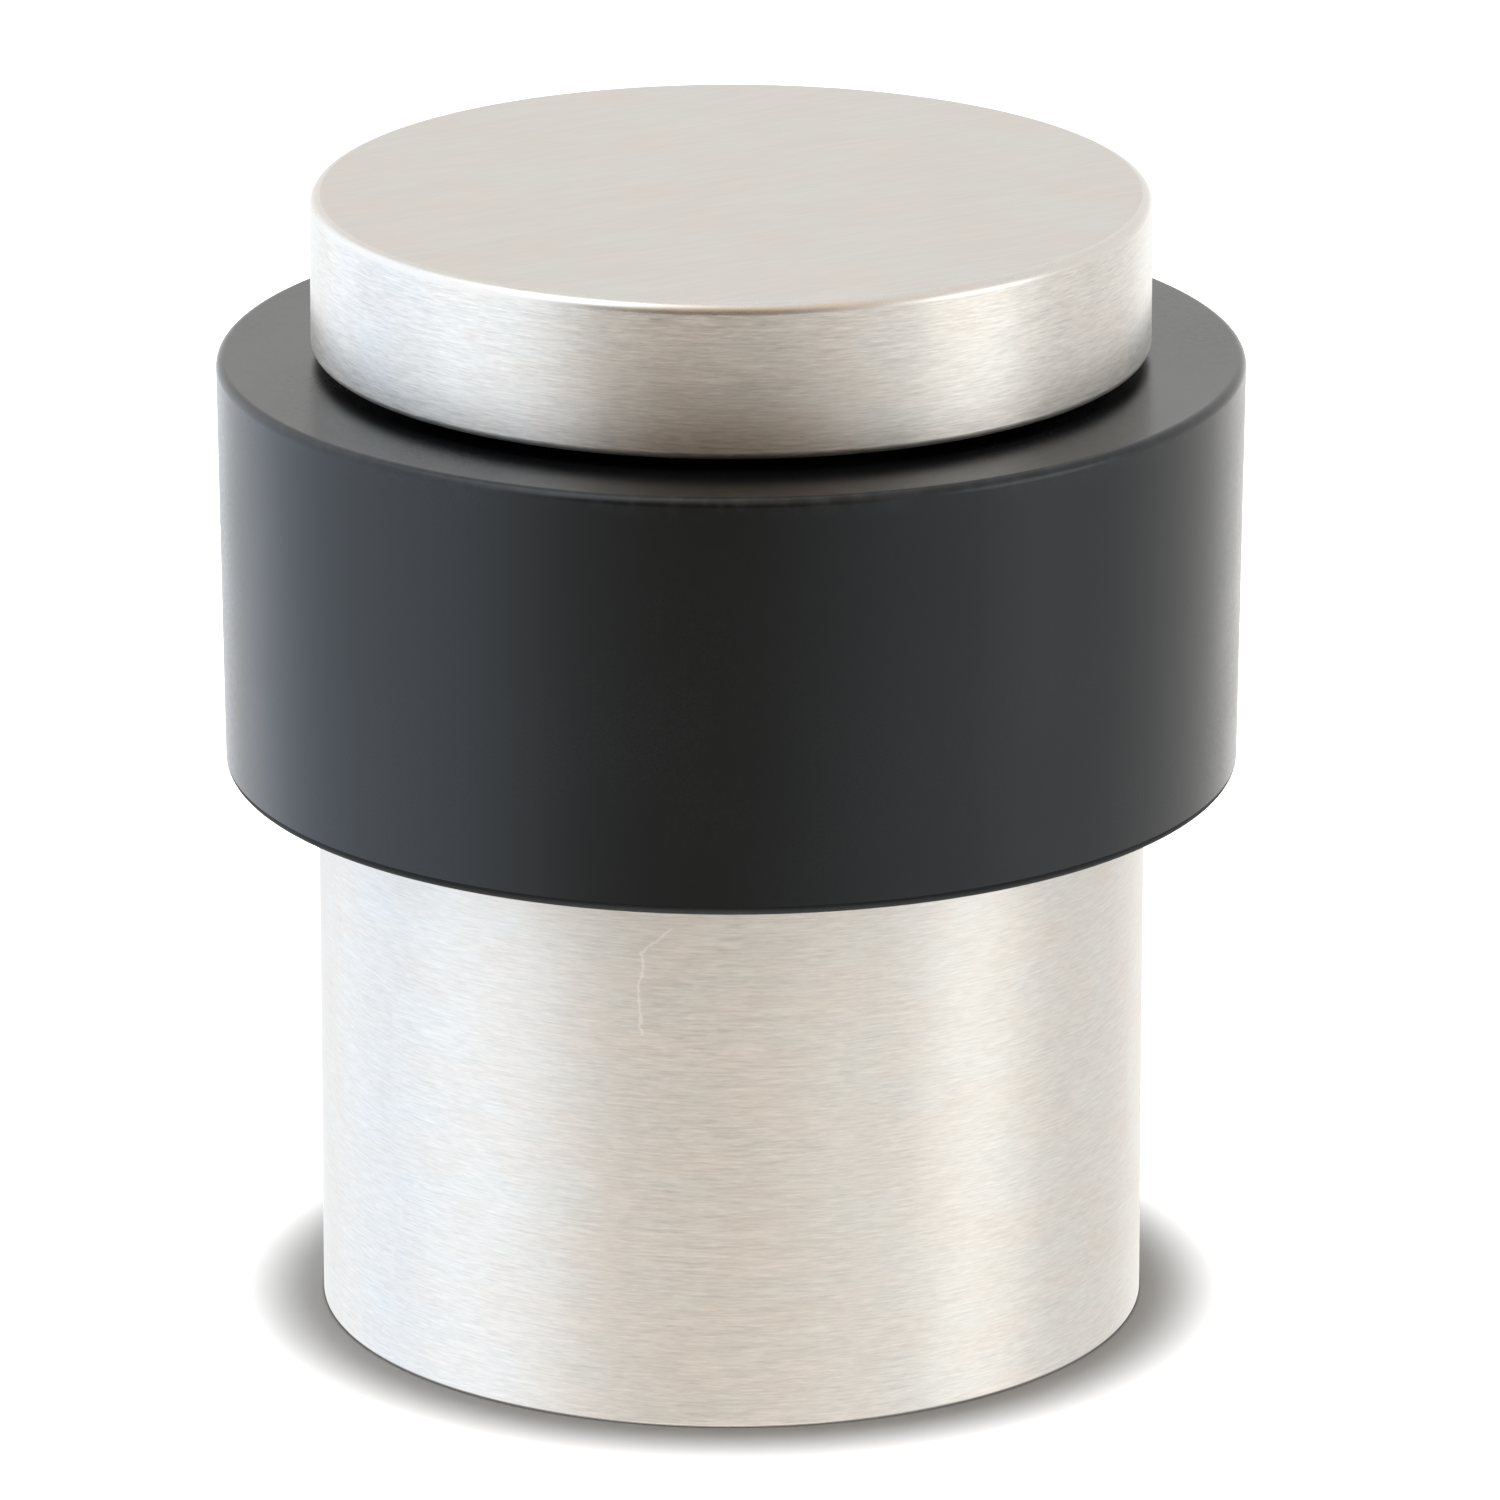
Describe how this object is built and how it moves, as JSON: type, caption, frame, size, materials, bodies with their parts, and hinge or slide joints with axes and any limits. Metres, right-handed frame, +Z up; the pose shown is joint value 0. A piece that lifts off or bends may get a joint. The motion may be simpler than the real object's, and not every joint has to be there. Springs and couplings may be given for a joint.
{
  "type": "floor door stop",
  "caption": "Cylindrical floor-mounted door stop: satin stainless sleeve and screw-off cap around a turning rubber buffer ring, on a hidden floor plate.",
  "frame": {"origin": "on the floor at the stop's own axis: the centre of the sleeve's and floor plate's bottom faces", "axes": "+Z up along the stop's axis, -Y towards the door side, +Y towards the set screw at the back"},
  "size_m": [0.0394, 0.0394, 0.0444],
  "materials": {
    "satin_steel": "satin, brushed round the axis",
    "buffer_rubber": "matte black moulded",
    "core_aluminium": "turned",
    "plate_steel": "bright zinc plated",
    "screw_steel": "stainless fastener",
    "black_steel": "black oxide",
    "nylon": "natural nylon"
  },
  "bodies": {
    "floor": {"floor_plate": "plate_steel"},
    "stop": {"body_sleeve": "satin_steel", "neck_core": "core_aluminium", "tie_bolt": "black_steel", "spring_washer": "screw_steel", "flat_washer": "screw_steel"},
    "ring": {"buffer_ring": "buffer_rubber"},
    "washer": {"thrust_washer": "nylon"},
    "cap": {"cap": "satin_steel"},
    "set_screw": {"set_screw": "black_steel"}
  },
  "joints": [
    {"name": "stop_lift", "type": "slide", "parent": "floor", "child": "stop", "axis": [0, 0, 1], "range_m": [0, 0.025]},
    {"name": "ring_turn", "type": "hinge", "parent": "stop", "child": "ring", "pos_m": [0, 0, 0.03], "axis": [0, 0, 1], "continuous": true},
    {"name": "cap_rise", "type": "slide", "parent": "stop", "child": "washer", "axis": [0, 0, 1], "range_m": [0, 0.007]},
    {"name": "cap_turn", "type": "hinge", "parent": "washer", "child": "cap", "pos_m": [0, 0, 0.0385], "axis": [0, 0, 1], "range_deg": [0, 2520]},
    {"name": "set_screw_out", "type": "slide", "parent": "stop", "child": "set_screw", "axis": [0, 1, 0], "range_m": [0, 0.003]}
  ],
  "couplings": [
    {"joint": "cap_rise", "follows": "cap_turn", "m_per_rad": 0.00015915}
  ]
}
